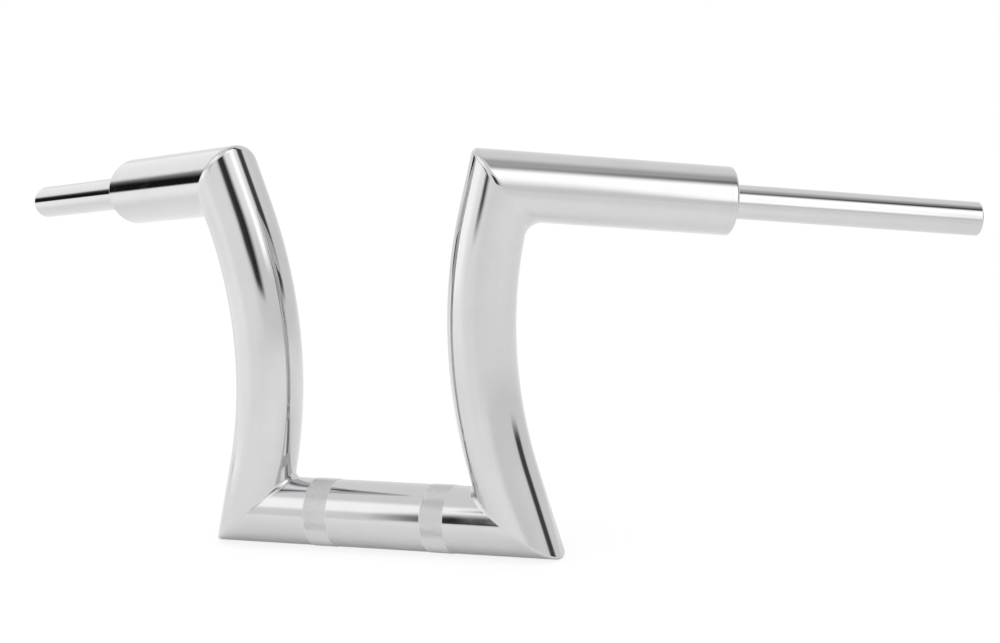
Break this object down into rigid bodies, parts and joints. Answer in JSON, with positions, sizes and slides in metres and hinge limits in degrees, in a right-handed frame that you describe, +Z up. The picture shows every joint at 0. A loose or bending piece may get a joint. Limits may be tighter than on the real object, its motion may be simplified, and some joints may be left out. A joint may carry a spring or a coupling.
{
  "type": "ape hanger handlebar",
  "caption": "Fat-tube ape hanger handlebar: mitred chrome body with inward-bowed uprights, swept arms and slimmer grip ends.",
  "frame": {"origin": "on the crossbar's axis, midway between the two clamp bands", "axes": "+X along the crossbar, +Y towards the rider, +Z up the uprights"},
  "size_m": [0.8186, 0.2545, 0.3088],
  "materials": {
    "chrome_tube": "bright chrome plate over polished steel tube",
    "chrome_plug": "bright chrome plate over a turned steel plug",
    "chrome_grip": "bright chrome plate over steel tube",
    "chrome_weld": "bright chrome plate over ground weld"
  },
  "bodies": {
    "root": {"crossbar": "chrome_tube", "left_upright": "chrome_tube", "right_upright": "chrome_tube", "left_arm": "chrome_tube", "right_arm": "chrome_tube", "left_end_plug": "chrome_plug", "right_end_plug": "chrome_plug", "left_grip_tube": "chrome_grip", "right_grip_tube": "chrome_grip", "left_lower_weld": "chrome_weld", "right_lower_weld": "chrome_weld", "left_upper_weld": "chrome_weld", "right_upper_weld": "chrome_weld"}
  },
  "joints": []
}
